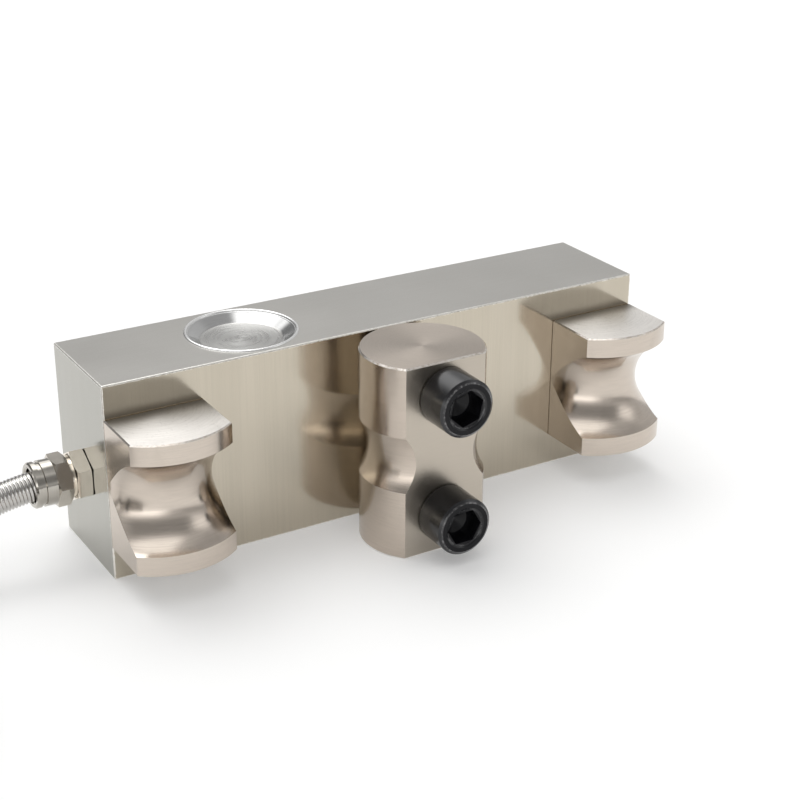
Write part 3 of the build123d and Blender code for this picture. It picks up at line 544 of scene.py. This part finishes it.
def wound_tube(name, points, radius, pitch, depth, around, profile):
    """Tube of wire wound edge to edge along a line: a helical thread with rounded crests."""
    at = measure(points)
    tangents, sides = frames_along(points)
    total = at[-1]
    rows = int(total / pitch) - 1
    k = len(profile)
    verts = []
    cursor = 0
    steps = rows * around
    # one running row of points per winding step and profile point
    for m in range(steps + 1):
        ang = 2 * math.pi * m / around
        for p, (share, drop) in enumerate(profile):
            s = pitch * (m / around + share)
            while cursor < len(at) - 2 and at[cursor + 1] < s:
                cursor += 1
            while cursor > 0 and at[cursor] > s:
                cursor -= 1
            f = (s - at[cursor]) / max(at[cursor + 1] - at[cursor], 1e-12)
            f = min(1.0, max(0.0, f))
            c = points[cursor].lerp(points[cursor + 1], f)
            tg = tangents[cursor].lerp(tangents[cursor + 1], f).normalized()
            sd = sides[cursor].lerp(sides[cursor + 1], f)
            sd = (sd - tg * sd.dot(tg)).normalized()
            up_v = tg.cross(sd)
            rr = radius - depth * drop
            verts.append(c + (sd * math.cos(ang) + up_v * math.sin(ang)) * rr)
    faces = []
    for m in range(steps):
        for p in range(k):
            a = m * k + p
            b = (m + 1) * k + p
            if p + 1 < k:
                faces.append((a, b, b + 1, a + 1))
            else:
                c = (m + around) * k
                d = (m + 1 + around) * k
                if m + 1 + around <= steps:
                    faces.append((a, b, d, c))
    # close the start with a fan; holes_fill below closes the far end
    start_c = len(verts)
    verts.append(points[0] + tangents[0] * (pitch * 0.5))
    for i in range(around):
        faces.append((start_c, (i + 1) * k, i * k))
    chain = [0] + list(range(1, k)) + [around * k]
    for a, b in zip(chain, chain[1:]):
        faces.append((start_c, a, b))
    mesh = bpy.data.meshes.new(name)
    mesh.from_pydata([tuple(v) for v in verts], [], faces)
    mesh.validate()
    bm = bmesh.new()
    bm.from_mesh(mesh)
    bmesh.ops.holes_fill(bm, edges=[e for e in bm.edges if e.is_boundary], sides=0)
    bmesh.ops.recalc_face_normals(bm, faces=bm.faces)
    bm.to_mesh(mesh)
    bm.free()
    for f in mesh.polygons:
        f.use_smooth = True
    o = bpy.data.objects.new(name, mesh)
    scene.collection.objects.link(o)
    return o


PROFILE = ((0.0, 1.0), (0.33, 0.0), (0.67, 0.0))
conduit = wound_tube("conduit_lead", path, CONDUIT_R, 1.08 * MM, 0.55 * MM, 18, PROFILE)


def conduit_metal():
    k = Mat("conduit_steel")
    cloud = k.noise(k.P, 90.0, 3.0, 0.6)
    fine = k.noise(k.P, 1500.0, 3.0, 0.65)
    col = k.mix(cloud, (0.47, 0.455, 0.435), (0.58, 0.565, 0.545))
    rough = k.ramp(k.math("ADD", k.math("MULTIPLY", fine, 0.5), k.math("MULTIPLY", cloud, 0.5)), 0.3, 0.7, 0.16, 0.28)
    n = k.bump(fine, 0.000004)
    return k.set(Base_Color=col, Metallic=1.0, Roughness=rough, Normal=n)


m_conduit = conduit_metal()
conduit.data.materials.append(m_conduit)
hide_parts("conduit", "conduit_coil")
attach(conduit, "root")

# The cable's last stretch, out of the bush and down onto the turns.
END_DEG = 110.0


def round_coil(deg, r, z):
    a = math.radians(deg)
    return (COIL_C[0] + r * MM * math.cos(a), COIL_C[1] + r * MM * math.sin(a), z * MM)


end_pt = Vector(round_coil(END_DEG, 53.8, 23.3))
end_way = Vector((-math.sin(math.radians(END_DEG)), math.cos(math.radians(END_DEG)), 0.0))
TAIL = [
    tuple(end_pt + end_way * 0.002),
    tuple(end_pt + end_way * 0.011),
    round_coil(END_DEG + 20.0, 55.0, 22.8),
    round_coil(END_DEG + 28.8, 55.0, 22.1),
    round_coil(END_DEG + 37.8, 55.0, 21.4),
    round_coil(END_DEG + 46.8, 55.0, 21.0),
    round_coil(END_DEG + 55.0, 55.0, 21.0),
]
tail_data = bpy.data.curves.new("cable_end", "CURVE")
tail_data.dimensions = "3D"
tail_data.bevel_depth = 0.002
tail_data.bevel_resolution = 6
tail_data.use_fill_caps = True
tail_spline = tail_data.splines.new("NURBS")
tail_spline.points.add(len(TAIL) - 1)
for p, c in zip(tail_spline.points, TAIL):
    p.co = (c[0], c[1], c[2], 1.0)
tail_spline.order_u = 3
tail_spline.use_endpoint_u = True
tail_spline.resolution_u = 12
tail = bpy.data.objects.new("cable_end", tail_data)
scene.collection.objects.link(tail)
tail_data.materials.append(m_sheath)
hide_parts("cable_tail")
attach(tail, "root")


# ------------------------------------------------------------------ ties
def strap_cloth():
    k = Mat("strap_cloth")
    weave = k.noise(k.scale(k.P, 2400, 2400, 1200), 1.0, 3.0, 0.65)
    fuzz = k.noise(k.P, 5200.0, 3.0, 0.7)
    col = k.mix(weave, (0.012, 0.012, 0.013), (0.032, 0.032, 0.034))
    n = k.bump(k.math("ADD", weave, fuzz), 0.00012)
    k.bsdf.inputs["Sheen Weight"].default_value = 0.35
    k.bsdf.inputs["Sheen Roughness"].default_value = 0.5
    return k.set(Base_Color=col, Roughness=0.85, Normal=n)


m_strap = strap_cloth()
for n in ("coil_tie_high", "coil_tie_low"):
    dress(n, m_strap)

# ------------------------------------------------------------------ stage
# A pale sheet of paper, lit a little from below.
floor_mesh = bpy.data.meshes.new("floor")
floor_mesh.from_pydata([(-4, -4, 0), (4, -4, 0), (4, 4, 0), (-4, 4, 0)], [], [(0, 1, 2, 3)])
floor = bpy.data.objects.new("floor", floor_mesh)
scene.collection.objects.link(floor)
fm = bpy.data.materials.new("floor_paper")
fm.use_nodes = True
fb = fm.node_tree.nodes["Principled BSDF"]
fb.inputs["Base Color"].default_value = (0.80, 0.80, 0.797, 1)
fb.inputs["Emission Color"].default_value = (1.0, 1.0, 1.0, 1)
fb.inputs["Emission Strength"].default_value = 0.22
fb.inputs["Roughness"].default_value = 0.9
fb.inputs["Specular IOR Level"].default_value = 0.1
floor_mesh.materials.append(fm)

# ------------------------------------------------------------------ light
# A tent of soft light: each panel is a patch of sky with soft edges, given by compass angle
# (0 behind the part, 90 at its right end, 180 in front) and height over the floor, in degrees.
world = bpy.data.worlds.new("studio")
scene.world = world
world.use_nodes = True
wt = world.node_tree
wt.nodes.clear()
w_out = wt.nodes.new("ShaderNodeOutputWorld")
w_bg = wt.nodes.new("ShaderNodeBackground")
w_tc = wt.nodes.new("ShaderNodeTexCoord")
w_sep = wt.nodes.new("ShaderNodeSeparateXYZ")
wt.links.new(w_tc.outputs["Generated"], w_sep.inputs[0])
# beyond the floor's edge the background is plain white
w_path = wt.nodes.new("ShaderNodeLightPath")
w_white = wt.nodes.new("ShaderNodeBackground")
w_white.inputs[0].default_value = (1.0, 1.0, 1.0, 1.0)
w_white.inputs[1].default_value = 1.0
w_mix = wt.nodes.new("ShaderNodeMixShader")
wt.links.new(w_path.outputs["Is Camera Ray"], w_mix.inputs[0])
wt.links.new(w_bg.outputs[0], w_mix.inputs[1])
wt.links.new(w_white.outputs[0], w_mix.inputs[2])
wt.links.new(w_mix.outputs[0], w_out.inputs[0])


def wmath(op, a, b=0.0, c=0.0):
    n = wt.nodes.new("ShaderNodeMath")
    n.operation = op
    for i, v in enumerate((a, b, c)):
        if isinstance(v, (int, float)):
            n.inputs[i].default_value = v
        else:
            wt.links.new(v, n.inputs[i])
    return n.outputs[0]


def wramp(v, lo, hi):
    n = wt.nodes.new("ShaderNodeMapRange")
    n.interpolation_type = "SMOOTHSTEP"
    wt.links.new(v, n.inputs["Value"])
    n.inputs["From Min"].default_value = lo
    n.inputs["From Max"].default_value = hi
    n.inputs["To Min"].default_value = 0.0
    n.inputs["To Max"].default_value = 1.0
    return n.outputs[0]


w_az = wmath("MULTIPLY", wmath("ARCTAN2", w_sep.outputs[0], w_sep.outputs[1]), 180 / math.pi)
w_el = wmath("MULTIPLY", wmath("ARCSINE", w_sep.outputs[2]), 180 / math.pi)


def panel(level_in, at, wide, soft_az, low, high, soft_el, level):
    """Lays one panel over the light so far: its level replaces it inside the panel's edges."""
    off = wmath("ABSOLUTE", wmath("WRAP", wmath("SUBTRACT", w_az, float(at)), 180.0, -180.0))
    across = wramp(off, wide / 2 + soft_az, wide / 2 - soft_az) if wide < 360 else 1.0
    above = wramp(w_el, low - soft_el, low + soft_el)
    below = wramp(w_el, high + soft_el, high - soft_el)
    mask = wmath("MULTIPLY", wmath("MULTIPLY", above, below), across)
    n = wt.nodes.new("ShaderNodeMix")
    n.data_type = "FLOAT"
    wt.links.new(mask, n.inputs[0])
    if isinstance(level_in, (int, float)):
        n.inputs[2].default_value = level_in
    else:
        wt.links.new(level_in, n.inputs[2])
    n.inputs[3].default_value = level
    return n.outputs[0]


PANELS = [
    # at, wide, soft, low, high, soft, level
    (335.0, 80.0, 18.0, -30.0, 30.0, 6.0, 0.26),
    (85.0, 60.0, 18.0, 42.0, 80.0, 8.0, 0.46),
    (127.0, 36.0, 10.0, 17.0, 39.0, 6.0, 1.15),
    (132.0, 60.0, 14.0, -30.0, 7.0, 4.0, 0.36),
    (218.0, 130.0, 16.0, 56.0, 84.0, 7.0, 1.45),
    (205.0, 124.0, 16.0, 17.0, 48.0, 7.0, 0.32),
    (232.0, 76.0, 22.0, -30.0, 9.0, 6.0, 2.30),
    (3.0, 50.0, 16.0, 31.0, 50.0, 6.0, 2.10),
    (356.0, 96.0, 24.0, 48.0, 83.0, 8.0, 3.60),
    (0.0, 360.0, 0.0, 82.0, 130.0, 5.0, 2.00),
]
light = 0.60
for spec in PANELS:
    light = panel(light, *spec)
w_bg.inputs[0].default_value = (1.0, 1.0, 1.0, 1.0)
wt.links.new(light, w_bg.inputs[1])
